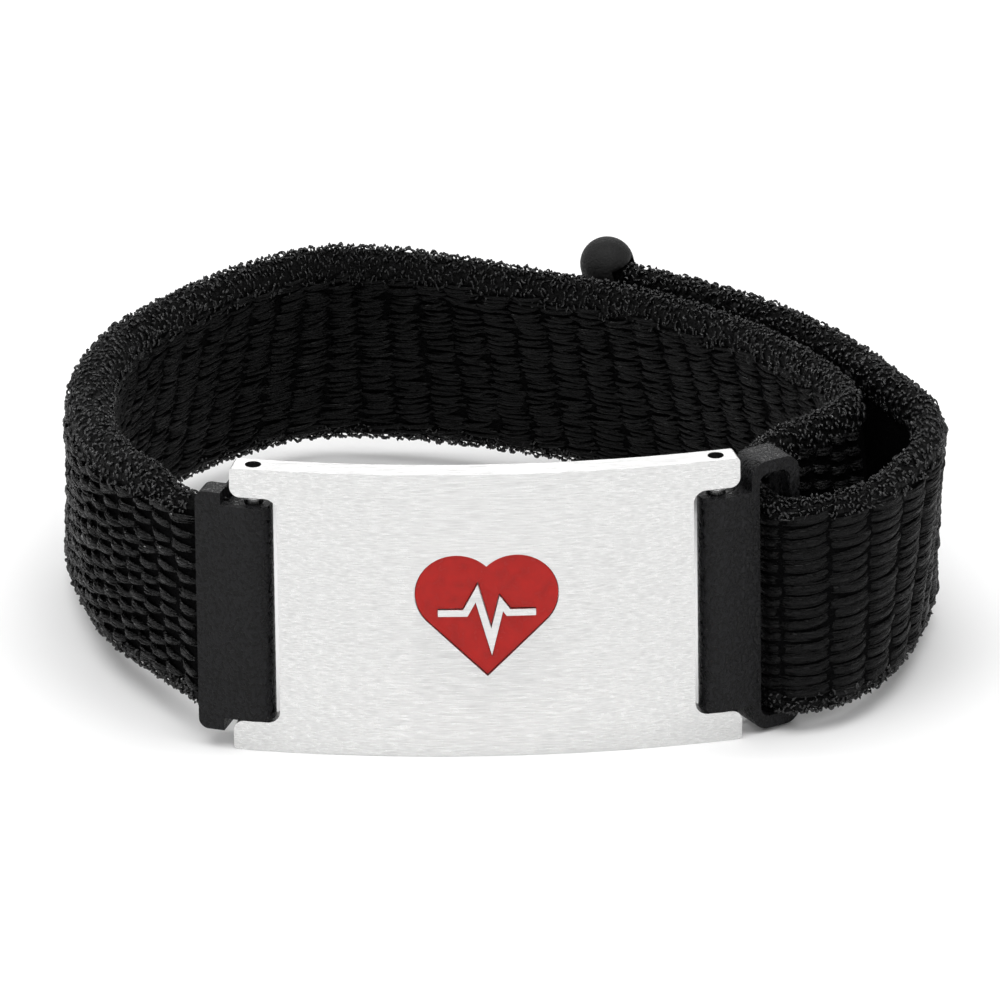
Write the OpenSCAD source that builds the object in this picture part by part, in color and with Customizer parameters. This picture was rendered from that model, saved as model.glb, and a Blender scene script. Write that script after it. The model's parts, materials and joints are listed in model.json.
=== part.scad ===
// Medical alert bracelet: a curved steel plate on a woven hook-and-loop strap.
// It stands on the lower edge of the plate, with the strap loop upright behind it.
// Seen from the plate's face +X is to the right, +Y leads to the back of the loop, +Z is up.
// The origin is the middle of the plate's lower front edge.

/* [Plate] */
// Width of the plate between the ends of its ears
plate_w = 43.8; // [38:0.1:50]
// Thickness of the plate
plate_t = 2.2; // [1.9:0.1:2.8]
// Radius of the plate's front face
plate_r = 95; // [60:1:200]
// Height of each ear, above and below the notch in the plate's end
ear_h = 2.7; // [2.4:0.1:4]
// Depth of the notch in each end
notch_depth = 4.1; // [3.8:0.1:5]
// Rounding of the notch's inner corners
notch_round = 1.1; // [0.5:0.1:2]
// Rounding of the ears' corners beside the notch
ear_round = 0.9; // [0.3:0.1:1.3]
// Rounding of their outer corners
corner_round = 0.35; // [0.2:0.05:0.6]
// Diameter of the holes for the pins' tips
hole_d = 1.4; // [1.2:0.05:1.6]
// Distance from the end of an ear to the pin
pin_inset = 1.9; // [1.7:0.1:2.1]

/* [Emblem] */
// Width of the enamel heart
heart_w = 12.4; // [8:0.1:16]
// Depth of the enamel pocket at the plate's middle
pocket_depth = 0.6; // [0.5:0.05:0.9]
// How far the flat enamel lies below the plate's face at the heart's sides
enamel_drop = 0.04; // [0.02:0.01:0.1]
// Gap round and under the enamel
enamel_gap = 0.05; // [0.03:0.01:0.1]
// Width of the raised pulse line
pulse_w = 0.62; // [0.4:0.02:0.9]

/* [Pins] */
// Diameter of a spring pin's body
pin_d = 1.5; // [1.2:0.05:1.7]
// Diameter of a spring pin's tips
tip_d = 1; // [0.8:0.05:1.1]
// How far a tip reaches into its ear
tip_reach = 1.9; // [1:0.1:2.4]
// Diameter of the shoulder rings
shoulder_d = 2.3; // [1.9:0.1:2.8]
// Height of a shoulder ring
shoulder_h = 0.15; // [0.1:0.05:0.2]
// Gap above and below a shoulder ring
rest_gap = 0.04; // [0.03:0.01:0.05]
// Gap round a pin
pin_gap = 0.1; // [0.06:0.01:0.2]

/* [Connector] */
// Diameter of the barrels on the pins
barrel_d = 3.3; // [3:0.05:3.6]
// Gap between a barrel and an ear
barrel_gap = 0.5; // [0.3:0.05:0.8]
// Turn of the left wing from the plate's chord, in degrees
wing_turn = 19.4; // [10:0.1:28]
// Reach of the left wing from its pin
wing_reach = 4.8; // [4.2:0.1:6]
// How far the left wing stands beyond each edge of the strap
wing_over = 1.15; // [0.8:0.05:1.6]
// Thickness of the wing's front flap
flap_t = 1.1; // [0.8:0.05:1.3]
// Thickness of the wing's back jaw
jaw_t = 0.8; // [0.6:0.05:1.2]
// Reach of the back jaw from the pin
jaw_reach = 3.1; // [2.8:0.1:3.6]
// Distance from the pin to the bottom of the strap's pocket
pocket_floor = 2.15; // [2:0.05:2.4]
// Rounding of the wing's free corners
wing_round = 0.9; // [0.6:0.1:2]
// Gap between an ear's end and the tall part of a connector
ear_gap = 0.5; // [0.35:0.05:0.7]

/* [Buckle] */
// Turn of the buckle loop from the plate's chord, in degrees
loop_turn = 30; // [22:1:36]
// Thickness of the leg beside the barrel
inner_leg = 0.8; // [0.7:0.05:1.2]
// Thickness of the bar that the strap turns round
outer_leg = 0.95; // [0.8:0.05:1.5]
// Thickness of the top and bottom rails
rail_t = 1.15; // [0.9:0.05:1.4]
// Spare width of the slot beside the strap
slot_play = 0.75; // [0.4:0.05:0.8]
// Spare height of the slot above and below the strap
slot_spare = 1.4; // [1.2:0.05:1.6]
// Gap under the strap in the slot
slot_rest = 0.65; // [0.2:0.05:0.8]
// Rounding of the frame's outer corners
frame_round = 1.5; // [0.6:0.1:1.6]
// Rounding of the slot's corners
slot_round = 0.9; // [0.3:0.1:1]
// Rounding of the bar where the strap turns
bar_round = 0.25; // [0.15:0.05:0.4]

/* [Strap] */
// Width of the strap
strap_w = 20; // [18:0.5:21]
// Thickness of the strap where it is a single layer
strap_t = 3; // [2.6:0.1:3.2]
// Rounding of the strap's woven edges
strap_edge = 0.8; // [0.4:0.1:1.1]
// Width of the whole loop, outside
loop_w = 76.4; // [72:0.5:90]
// How far the loop lies to the right of the plate's middle
loop_shift = 1.9; // [0:0.1:4]
// Depth of the whole loop, from the plate's face to the back
loop_d = 66.5; // [60:0.5:80]
// Direction in which the strap leaves the buckle, in degrees from the plate's chord
leave_turn = 12; // [4:1:20]
// Gap between the strap and what holds it
strap_gap = 0.12; // [0.08:0.01:0.2]
// Gap between the two layers where they lie together
layer_gap = 0.45; // [0.2:0.05:0.8]

/* [End bar] */
// Diameter of the bar on the strap's free end
bar_d = 4.8; // [4.5:0.1:6]
// How far the end bar stands beyond each edge of the strap
bar_over = 2.7; // [2.5:0.1:4]
// How far the strap's end goes past the bar's axis
bar_grip = 0.9; // [0.4:0.1:1.2]
// Spare height of the bar's slot beyond each edge of the strap
bar_spare = 0.8; // [0.2:0.1:1]

/* [Hidden] */

steel = [0.86, 0.86, 0.87];
red = [0.74, 0.16, 0.12];
black = [0.13, 0.13, 0.14];
cloth = [0.07, 0.07, 0.08];
far = 200;
over = 1;
round_fn = 64;
arc_fn = 720;

// Heights, which all follow the strap's width
barrel_h = strap_w;
notch_h = barrel_h + 2 * barrel_gap;
plate_h = notch_h + 2 * ear_h;
wing_h = strap_w + 2 * wing_over;
slot_h = strap_w + 2 * slot_spare;
frame_h = slot_h + 2 * rail_t;
floor_spare = 0.1;
// The connectors hang low on their pins, on the lower shoulders
hang = barrel_gap - shoulder_h - 2 * rest_gap;
mid_z = max(plate_h, frame_h + 2 * (floor_spare + hang)) / 2;
hung_z = mid_z - hang;
low_z = hung_z - slot_spare + slot_rest;

// An ear's rounding is at most this share of its height
ear_limit = 0.45;
ear_turn = min(ear_round, ear_limit * ear_h);
outer_h = ear_h - ear_turn;

// Ears and pins, in plan
mid_r = plate_r - plate_t / 2;
ear_a = asin(plate_w / 2 / plate_r);
pin_a = ear_a - pin_inset / plate_r * 180 / PI;
pin_x = mid_r * sin(pin_a);
pin_y = plate_r - mid_r * cos(pin_a);
barrel_r = barrel_d / 2;

// Share of its thickness that the strap keeps in the wing, in the slot and in the end bar
mouth_share = 0.67;
slot_share = 0.77;
end_share = 0.85;
mouth_t = mouth_share * strap_t;
slot_t = slot_share * strap_t;
end_t = end_share * strap_t;

// Plan directions of the two connectors: along leads away from the pin, front out of the face
wing_along = [-cos(wing_turn), sin(wing_turn)];
wing_front = [-sin(wing_turn), -cos(wing_turn)];
loop_along = [cos(loop_turn), sin(loop_turn)];
loop_front = [sin(loop_turn), -cos(loop_turn)];

function on_wing(a, b) = [-pin_x, pin_y] + a * wing_along + b * wing_front;
function on_loop(a, b) = [pin_x, pin_y] + a * loop_along + b * loop_front;
function ear_corner(side, r) = [side * r * sin(ear_a), plate_r - r * cos(ear_a)];

// How far an ear reaches along a connector, from the pin
function ear_reach(side, dir) = max([for (r = [plate_r, plate_r - plate_t])
    (ear_corner(side, r) - [side * pin_x, pin_y]) * dir]);

// Left wing, along and front from the pin
tall_start = ear_reach(-1, wing_along) + ear_gap;
mouth_mid = barrel_r - flap_t - strap_gap - mouth_t / 2;
pocket_t = mouth_t + 2 * strap_gap;
jaw_back = mouth_mid - pocket_t / 2 - jaw_t;

// Buckle loop, along and front from the pin
frame_start = ear_reach(1, loop_along) + ear_gap;
slot_start = frame_start + inner_leg;
slot_w = slot_t + slot_play;
bar_start = slot_start + slot_w;
frame_end = bar_start + outer_leg;
strap_in_slot = bar_start - strap_gap - slot_t / 2;
turn_r = bar_round + strap_gap + slot_t / 2;
turn_mid = on_loop(bar_start + bar_round, barrel_r - bar_round);

// End bar
bar_r = bar_d / 2;
bar_len = strap_w + 2 * bar_over;

// Strap route. A station is [x, y, z, tilt, thickness] at the middle of the strap's width.
// Tilt leans the strap's top away from the left of the way travelled, in degrees.
// The way runs from the left wing round the back to the buckle, and returns outside it.
steps = 4;
turn_step = 12;
left_half = loop_shift - loop_w / 2;
right_half = loop_shift + loop_w / 2;

// The tables' thickness is a share of the strap's.
// From the wing round the left. Columns: share out to the side, share to the back, lean inwards,
// share of the way down from the wing's height to the slot's, thickness
left_rows = [
    [0.120, 0.027, -4, 0.00, 0.87],
    [0.287, 0.082, -6, 0.05, 1.15],
    [0.494, 0.156, -8, 0.15, 1.40],
    [0.660, 0.236, -6, 0.30, 1.45],
    [0.748, 0.324, -4, 0.45, 1.45],
    [0.790, 0.419,  0, 0.60, 1.45],
    [0.776, 0.517,  5, 0.75, 1.40],
    [0.650, 0.625, 10, 0.90, 1.28]
];
// Round the back to the last bend. Columns: share of the half width, share of the depth,
// lean inwards, thickness
back_rows = [
    [-0.775, 0.760, 13, 1.12],
    [-0.590, 0.872, 15, 1.08],
    [-0.380, 0.936, 16, 1.06],
    [-0.165, 0.926, 16, 1.05],
    [ 0.078, 0.873, 17, 1.02],
    [ 0.334, 0.795, 17, 1.00],
    [ 0.491, 0.722, 15, 0.97],
    [ 0.648, 0.617, 12, 0.95],
    [ 0.768, 0.496,  9, 0.93],
    [ 0.820, 0.398,  6, 0.93]
];
// From the last bend down to the slot, placed from the slot. Columns: as for the front
inner_rows = [
    [ 0.531, 0.266, 4, 0.93],
    [ 0.358, 0.205, 2, 0.92],
    [ 0.138, 0.153, 1, 0.90],
    [-0.022, 0.099, 0, 0.85],
    [-0.070, 0.042, 0, 0.80]
];
// From the turn to the lap. Columns: share out to the side, share to the back, lean inwards,
// thickness
front_rows = [
    [0.260, 0.020, -1, 0.85],
    [0.500, 0.066, -4, 0.95],
    [0.655, 0.118, -6, 1.00],
    [0.775, 0.174, -7, 1.02],
    [0.820, 0.230, -6, 1.04],
    [0.855, 0.291, -3, 1.06],
    [0.815, 0.361,  4, 1.07],
    [0.690, 0.448,  8, 1.08]
];
// The outer layer lies along the inner one between these rows of the back
lap_start_index = 7.5;
lap_end_index = 5;
// Thickness of the outer layer where the lap starts, as a share of the strap's
lap_share = 1.12;
// Extra opening where the lap starts, as a share of the strap's thickness
open_share = 0.25;
// How far the outer layer rides up at the middle of the lap
lap_ride = 0.4;
// Share of the lap over which the end rises to clear the bar
rise_share = 0.45;

function unit(v) = v / norm(v);
function plan(p) = [p[0], p[1]];
function left_of(v) = [-v[1], v[0]];
function place(from, half, row) = [
    from[0] + row[0] * (half - from[0]),
    from[1] + row[1] * (loop_d - from[1])
];
function station(xy, z, tilt, t) = [xy[0], xy[1], z, tilt, t];
function blend(a, b, c, d, t) = 0.5 * (2 * b + (c - a) * t
    + (2 * a - 5 * b + 4 * c - d) * t * t + (3 * b - a - 3 * c + d) * t * t * t);

// A smooth run through points 1 to n-2 of a list, whose first and last points only aim it
function smooth(p) = concat(
    [for (i = [1:len(p) - 3]) for (k = [0:steps - 1])
        blend(p[i - 1], p[i], p[i + 1], p[i + 2], k / steps)],
    [p[len(p) - 2]]);
function heading(s, i) = unit(plan(s[min(i + 1, len(s) - 1)]) - plan(s[max(i - 1, 0)]));

// Inner layer, from the wing's pocket to the front of the slot
pocket_end = station(on_wing(pocket_floor + strap_gap, mouth_mid), hung_z, 0, mouth_t);
mouth = station(on_wing(wing_reach, mouth_mid), hung_z, 0, mouth_t);
past_mouth = station(on_wing(wing_reach + mouth_t / 4, mouth_mid), hung_z, 0, mouth_t);
slot_in = station(on_loop(strap_in_slot, -barrel_r), low_z, 0, slot_t);
slot_out = station(on_loop(strap_in_slot, barrel_r - bar_round), low_z, 0, slot_t);
inner_points = concat(
    [2 * pocket_end - mouth, pocket_end, mouth, past_mouth],
    [for (r = left_rows) station(place(mouth, left_half, r),
        hung_z + r[3] * (low_z - hung_z), r[2], r[4] * strap_t)],
    [for (r = back_rows) station([r[0] * (r[0] < 0 ? -left_half : right_half), r[1] * loop_d],
        low_z, r[2], r[3] * strap_t)],
    [for (r = inner_rows) station(place(slot_in, right_half, r), low_z, r[2], r[3] * strap_t)],
    [slot_in, slot_out, 2 * slot_out - slot_in]);
inner_run = smooth(inner_points);

// Turn round the outer bar of the buckle
turn_run = [for (a = [loop_turn - 90:turn_step:leave_turn - turn_step / 2])
    station(turn_mid + turn_r * [sin(a), -cos(a)], low_z, 0, slot_t)];
turn_end = station(turn_mid + turn_r * [sin(leave_turn), -cos(leave_turn)], low_z, 0, slot_t);

// Outer layer where it lies along the inner one
lap_row = 3 + len(left_rows);
lap_first = (lap_row + lap_start_index) * steps;
lap_last = (lap_row + lap_end_index) * steps;
end_tilt = inner_run[lap_last][3];
lap_t = lap_share * strap_t;
end_z = bar_r + (bar_len / 2 - bar_r) * cos(end_tilt);
function rise(f) = open_share * strap_t * (1 - f) * (1 - f)
    + (bar_r - end_t / 2) * pow(max(0, (f - 1 + rise_share) / rise_share), 2);
function lap_station(i, f, t) = station(
    plan(inner_run[i]) + left_of(heading(inner_run, i))
        * (inner_run[i][4] / 2 + t / 2 + layer_gap + rise(f)) / cos(inner_run[i][3]),
    low_z + f * (end_z - low_z) + 4 * lap_ride * f * (1 - f), -inner_run[i][3], t);
lap_run = [for (i = [lap_first:-1:lap_last])
    let (f = (lap_first - i) / (lap_first - lap_last))
        lap_station(i, f, lap_t + f * (end_t - lap_t))];

// Outer layer from the buckle to the lap
first_front = place(turn_end, right_half, front_rows[0]);
lead = norm(first_front - plan(turn_end));
front_points = concat(
    [turn_end - station(lead * [cos(leave_turn), sin(leave_turn)], 0, 0, 0), turn_end],
    [for (r = front_rows) station(place(turn_end, right_half, r), low_z, -r[2], r[3] * strap_t)],
    [lap_run[0], lap_run[steps]]);
front_run = smooth(front_points);

// Straight end inside the end bar
end_dir = heading(lap_run, len(lap_run) - 1);
bar_mid = station(plan(lap_run[len(lap_run) - 1]) + bar_r * end_dir, end_z, -end_tilt, end_t);
strap_end = bar_mid + station(bar_grip * end_dir, 0, 0, 0);

function tail_of(s) = [for (i = [1:len(s) - 1]) s[i]];
strap_run = concat(inner_run, tail_of(turn_run), [turn_end], tail_of(front_run),
                   tail_of(lap_run), [strap_end]);

// Cross-section corners: share of the thickness, share of the width, and how far each is cut in
strap_section = [
    [ 1,  1, 0, 1], [ 1,  1, 1, 0], [-1,  1, 1, 0], [-1,  1, 0, 1],
    [-1, -1, 0, 1], [-1, -1, 1, 0], [ 1, -1, 1, 0], [ 1, -1, 0, 1]
];
function section_ring(s, i) =
    let (p = s[i], n = left_of(heading(s, i)), ct = cos(p[3]), st = sin(p[3]))
    [for (c = strap_section)
        let (e = min(strap_edge, 0.4 * p[4]),
             a = c[0] * (p[4] / 2 - c[2] * e),
             b = c[1] * (strap_w / 2 - c[3] * e))
        [p[0] + n[0] * (a * ct - b * st), p[1] + n[1] * (a * ct - b * st), p[2] + a * st + b * ct]];

module sweep(rings) {
    m = len(rings[0]);
    n = len(rings);
    polyhedron(
        points = [for (r = rings) for (p = r) p],
        faces = concat(
            [[for (k = [0:m - 1]) k]],
            [[for (k = [m - 1:-1:0]) (n - 1) * m + k]],
            [for (i = [0:n - 2]) for (k = [0:m - 1])
                [i * m + k, (i + 1) * m + k, i * m + (k + 1) % m]],
            [for (i = [0:n - 2]) for (k = [0:m - 1])
                [i * m + (k + 1) % m, (i + 1) * m + k, (i + 1) * m + (k + 1) % m]]));
}

module rounded(w, h, r) {
    square([w - 2 * r, h], center = true);
    square([w, h - 2 * r], center = true);
    for (x = [-1, 1]) for (y = [-1, 1])
        translate([x * (w / 2 - r), y * (h / 2 - r)]) circle(r = r, $fn = round_fn);
}

// What rounding a corner at the origin takes away, with the solid on the side of x and y
module corner(x, y, r) {
    difference() {
        translate([x, y] * (r - over) / 2) square(r + over, center = true);
        translate([x, y] * r) circle(r = r, $fn = round_fn);
    }
}

// An upright outline pushed through along Y, from front to back
module upright(front, back) {
    translate([0, back, 0]) rotate([90, 0, 0]) linear_extrude(back - front) children();
}

// A heart of width w, centred, less a gap all round
module heart(w, gap) {
    side = 2 * w / (2 + sqrt(2));
    lobe = side / sqrt(8);
    translate([0, lobe / 2 - side / 4]) {
        rotate(45) square(side - 2 * gap, center = true);
        for (x = [-1, 1])
            translate([x * lobe, lobe]) circle(r = side / 2 - gap, $fn = round_fn);
    }
}

// Pulse line. Columns: share of the heart's width across, share up
pulse_rows = [
    [-0.34, 0.02], [-0.15, 0.02], [-0.07, 0.17], [0.03, -0.20], [0.10, 0.09], [0.15, 0.02],
    [0.34, 0.02]
];
// One side of the line at row i, mitred where the line turns
function beside(i, reach) =
    let (last = len(pulse_rows) - 1,
         way_in = unit(pulse_rows[max(i, 1)] - pulse_rows[max(i, 1) - 1]),
         way_out = unit(pulse_rows[min(i, last - 1) + 1] - pulse_rows[min(i, last - 1)]),
         across = unit(left_of(way_in) + left_of(way_out)))
    pulse_rows[i] * heart_w + across * reach / (across * left_of(way_in));
module pulse(w) {
    polygon(concat(
        [for (i = [0:len(pulse_rows) - 1]) beside(i, w / 2)],
        [for (i = [len(pulse_rows) - 1:-1:0]) beside(i, -w / 2)]));
}

// The plate's outline at one end, whose plane is at x = 0
module end_outline() {
    difference() {
        union() {
            translate([-far / 2 - ear_round, 0]) square([far, plate_h], center = true);
            for (z = [-1, 1]) {
                translate([-notch_depth / 2, z * (plate_h - ear_h) / 2])
                    rounded(notch_depth, ear_h, ear_turn);
                translate([-notch_depth / 2, z * (plate_h - outer_h) / 2])
                    rounded(notch_depth, outer_h, corner_round);
            }
        }
        translate([far - notch_depth, 0]) rounded(2 * far, notch_h, notch_round);
    }
}

module plate() {
    color(steel) difference() {
        translate([0, plate_r, mid_z]) intersection() {
            difference() {
                cylinder(r = plate_r, h = plate_h + over, center = true, $fn = arc_fn);
                cylinder(r = plate_r - plate_t, h = far, center = true, $fn = arc_fn);
            }
            rotate(ear_a) upright(-far, -plate_r / 2) end_outline();
            rotate(-ear_a) upright(-far, -plate_r / 2) mirror([1, 0]) end_outline();
        }
        for (side = [-1, 1]) translate([side * pin_x, pin_y, mid_z])
            cylinder(d = hole_d, h = far, center = true, $fn = round_fn);
        translate([0, 0, mid_z]) upright(-over, pocket_depth) difference() {
            heart(heart_w, 0);
            pulse(pulse_w);
        }
    }
}

module enamel() {
    face_y = heart_w * heart_w / 8 / plate_r + enamel_drop;
    color(red) translate([0, 0, mid_z]) upright(face_y, pocket_depth - enamel_gap) difference() {
        heart(heart_w, enamel_gap);
        pulse(pulse_w + 2 * enamel_gap);
    }
}

module pin(side) {
    body_h = notch_h - 2 * rest_gap;
    color(steel) translate([side * pin_x, pin_y, mid_z]) {
        cylinder(d = pin_d, h = body_h, center = true, $fn = round_fn);
        cylinder(d = tip_d, h = notch_h + 2 * tip_reach, center = true, $fn = round_fn);
        for (z = [-1, 1]) translate([0, 0, z * (body_h - shoulder_h) / 2])
            cylinder(d = shoulder_d, h = shoulder_h, center = true, $fn = round_fn);
    }
}

module barrel() {
    cylinder(d = barrel_d, h = barrel_h, center = true, $fn = round_fn);
}

module bore() {
    cylinder(d = pin_d + 2 * pin_gap, h = far, center = true, $fn = round_fn);
}

// Local X leads along the wing, local Y out of its face
module left_connector() {
    color(black) translate([-pin_x, pin_y, hung_z]) rotate(180 - wing_turn) difference() {
        union() {
            barrel();
            linear_extrude(barrel_h, center = true) polygon([
                [0, barrel_r], [0, -barrel_r], [barrel_r, jaw_back], [tall_start + over / 2, jaw_back],
                [tall_start + over / 2, barrel_r]]);
            linear_extrude(wing_h, center = true) polygon([
                [tall_start, barrel_r], [tall_start, jaw_back], [jaw_reach, jaw_back],
                [jaw_reach, mouth_mid], [wing_reach, mouth_mid], [wing_reach, barrel_r]]);
        }
        bore();
        translate([pocket_floor, mouth_mid - pocket_t / 2, -strap_w / 2 - strap_gap])
            cube([wing_reach, pocket_t, strap_w + 2 * strap_gap]);
        for (z = [-1, 1]) {
            upright(mouth_mid - over, barrel_r + over)
                translate([wing_reach, z * wing_h / 2]) corner(-1, -z, wing_round);
            upright(jaw_back - over, mouth_mid)
                translate([jaw_reach, z * wing_h / 2]) corner(-1, -z, jaw_t);
        }
    }
}

// Local X leads along the loop, local Y back from its face
module buckle_loop() {
    color(black) translate([pin_x, pin_y, hung_z]) rotate(loop_turn) difference() {
        union() {
            barrel();
            linear_extrude(barrel_h, center = true)
                translate([0, -barrel_r]) square([frame_start + inner_leg / 2, barrel_d]);
            upright(-barrel_r, barrel_r)
                translate([(frame_start + frame_end) / 2, 0])
                    rounded(frame_end - frame_start, frame_h, frame_round);
        }
        bore();
        upright(-barrel_r - over, barrel_r + over)
            translate([(slot_start + bar_start) / 2, 0]) rounded(slot_w, slot_h, slot_round);
        translate([bar_start, -barrel_r, 0]) linear_extrude(slot_h - 2 * slot_round, center = true)
            corner(1, 1, bar_round);
    }
}

module strap() {
    color(cloth) sweep([for (i = [0:len(strap_run) - 1]) section_ring(strap_run, i)]);
}

module end_bar() {
    color(black) translate([bar_mid[0], bar_mid[1], bar_mid[2]])
        rotate(atan2(end_dir[1], end_dir[0])) rotate([bar_mid[3], 0, 0]) difference() {
            union() {
                cylinder(d = bar_d, h = bar_len - bar_d, center = true, $fn = round_fn);
                for (z = [-1, 1]) translate([0, 0, z * (bar_len - bar_d) / 2])
                    sphere(d = bar_d, $fn = round_fn);
            }
            translate([-bar_d, -end_t / 2 - strap_gap, -strap_w / 2 - bar_spare])
                cube([bar_d + bar_grip + strap_gap, end_t + 2 * strap_gap, strap_w + 2 * bar_spare]);
        }
}

plate();
enamel();
pin(-1);  // left_pin
pin(1);  // right_pin
left_connector();
buckle_loop();
strap();
end_bar();
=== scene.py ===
"""A medical alert bracelet: the looks of its curved plate, its emblem, its two connectors and its woven
strap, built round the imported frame, with a pale floor, soft studio light and the photograph's camera."""

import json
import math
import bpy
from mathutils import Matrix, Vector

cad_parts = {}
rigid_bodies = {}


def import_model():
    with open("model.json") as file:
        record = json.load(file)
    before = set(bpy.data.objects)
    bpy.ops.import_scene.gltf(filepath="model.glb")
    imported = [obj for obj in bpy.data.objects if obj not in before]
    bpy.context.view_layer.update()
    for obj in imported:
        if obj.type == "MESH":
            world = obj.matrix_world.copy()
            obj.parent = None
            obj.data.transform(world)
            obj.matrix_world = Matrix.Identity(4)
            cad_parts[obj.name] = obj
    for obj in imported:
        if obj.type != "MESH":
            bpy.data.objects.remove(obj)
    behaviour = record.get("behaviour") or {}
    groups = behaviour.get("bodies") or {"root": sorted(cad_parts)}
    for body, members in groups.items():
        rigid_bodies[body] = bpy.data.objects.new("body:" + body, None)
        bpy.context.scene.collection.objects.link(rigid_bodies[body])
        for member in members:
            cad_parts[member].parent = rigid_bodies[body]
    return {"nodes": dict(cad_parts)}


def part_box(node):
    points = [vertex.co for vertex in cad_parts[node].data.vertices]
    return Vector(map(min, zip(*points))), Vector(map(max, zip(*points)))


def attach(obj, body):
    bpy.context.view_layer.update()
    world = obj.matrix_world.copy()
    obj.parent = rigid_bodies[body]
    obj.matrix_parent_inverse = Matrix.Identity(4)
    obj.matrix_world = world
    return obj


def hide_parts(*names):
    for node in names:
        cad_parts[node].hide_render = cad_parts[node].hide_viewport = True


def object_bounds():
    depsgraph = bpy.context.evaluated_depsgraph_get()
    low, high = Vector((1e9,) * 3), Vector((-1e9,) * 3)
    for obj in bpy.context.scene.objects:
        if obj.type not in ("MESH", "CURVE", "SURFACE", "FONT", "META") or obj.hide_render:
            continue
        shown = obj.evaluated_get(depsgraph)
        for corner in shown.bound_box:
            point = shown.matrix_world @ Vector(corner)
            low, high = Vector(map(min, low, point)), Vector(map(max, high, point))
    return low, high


bl_info = {
    "name": "Medical alert bracelet",
    "version": (1, 0, 0),
    "blender": (4, 5, 0),
    "location": "View3D > Sidebar > Bracelet",
    "description": "Builds a woven strap bracelet with a curved steel plate round its packed frame",
    "category": "Object",
}

import bmesh
import bpy
import numpy as np
from bpy.props import FloatProperty, FloatVectorProperty, PointerProperty
from mathutils import Matrix, Vector

MM = 0.001

for startup in list(bpy.data.objects):
    bpy.data.objects.remove(startup)
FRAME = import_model()
CAD_BOX = [list(corner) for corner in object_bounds()]


# What a user would change


def number(name, description, value, **kind):
    return FloatProperty(name=name, description=description, default=value, **kind)


def length(name, description, millimetres):
    return number(name, description, millimetres * MM, unit="LENGTH", precision=5)


def tint(name, description, colour):
    return FloatVectorProperty(name=name, description=description, default=colour, subtype="COLOR")


class BraceletMetalSettings(bpy.types.PropertyGroup):
    """Edges and colours of the plate, the enamel, the connectors and the end bar"""

    plate_edge: length("Plate edge", "Rounding of the plate's edges", 0.16)
    plate_colour: tint("Plate colour", "Colour of the brushed steel", (0.76, 0.76, 0.755))
    enamel_edge: length("Enamel edge", "Rounding where the enamel meets the steel", 0.05)
    enamel_colour: tint("Enamel colour", "Colour of the emblem's enamel", (0.43, 0.008, 0.005))
    connector_edge: length("Connector edge", "Rounding of the black connectors' edges", 0.22)
    connector_colour: tint("Connector colour", "Colour of the black coating", (0.007, 0.007, 0.008))
    bar_colour: tint("End bar colour", "Colour of the moulded bar", (0.006, 0.006, 0.006))


class BraceletStrapSettings(bpy.types.PropertyGroup):
    """Sizes of the woven strap"""

    pile: length("Pile", "How far the ground cloth lies under the strap's outer surface", 0.42)
    selvedge: length("Selvedge", "Width of the plain edge beside the rows", 1.35)
    side_column: length("Side columns", "Length of a knuckle along the strap on its outer side", 2.3)
    side_row: length("Side rows", "Distance between rows of knuckles", 1.42)
    wrist_column: length("Wrist columns", "Length of a float on the side towards the wrist", 3.15)
    wrist_row: length("Wrist rows", "Distance between rows of floats on that side", 0.95)
    lap_column: length("Lap columns", "Length of a float on the strap's turned-back end", 3.7)
    lap_row: length("Lap rows", "Distance between rows of floats there", 1.08)
    curls: number("Curls", "Curls of strand in each millimetre of an edge", 26.0)
    upper_stand: length("Upper stand", "How far the upper edge's curls stand proud", 0.85)
    lower_stand: length("Lower stand", "How far the lower edge's curls stand proud", 0.2)
    cloth_colour: tint("Cloth colour", "Colour of the strap's strands", (0.0035, 0.0035, 0.0038))


class BraceletStageSettings(bpy.types.PropertyGroup):
    """Floor, light and camera"""

    elevation: number("Elevation", "Camera's height over the horizon", math.radians(24), subtype="ANGLE")
    azimuth: number("Azimuth", "Camera's turn round the bracelet", math.radians(0.9), subtype="ANGLE")
    roll: number("Roll", "Camera's tilt in the picture", 0.0133, subtype="ANGLE")
    distance: number("Distance", "Camera's distance from the bracelet", 1.5, unit="LENGTH")
    lens: number("Lens", "Focal length in millimetres on a 36 mm sensor", 629.64)
    target: FloatVectorProperty(
        name="Target",
        description="The point whose place in the picture is known",
        default=(0, 0, 0.0134),
        subtype="XYZ",
    )
    target_right: number("Target right", "Its way right of the middle, as a share of the picture", -0.013)
    target_up: number("Target up", "Its way above the middle, as a share of the picture", -0.1137)
    floor_size: number("Floor", "Width of the floor", 6.0, unit="LENGTH")


# Pieces made from the frame's own solids

# Points of a solid that lie closer than this are one
SAME_POINT = 1e-6
# Faces that turn by less than this are one flat face
FLAT = math.radians(0.3)


def cad_copy(node, name):
    """A copy of a node's mesh, its loose triangles joined and its flat faces made one."""
    bm = bmesh.new()
    bm.from_mesh(FRAME["nodes"][node].data)
    bmesh.ops.remove_doubles(bm, verts=bm.verts, dist=SAME_POINT)
    bmesh.ops.dissolve_limit(bm, angle_limit=FLAT, verts=bm.verts, edges=bm.edges)
    mesh = bpy.data.meshes.new(name)
    bm.to_mesh(mesh)
    bm.free()
    return put_in(name, mesh)


def put_in(name, mesh):
    """The scene's new piece with this mesh."""
    piece = bpy.data.objects.new(name, mesh)
    bpy.context.scene.collection.objects.link(piece)
    return piece


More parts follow.
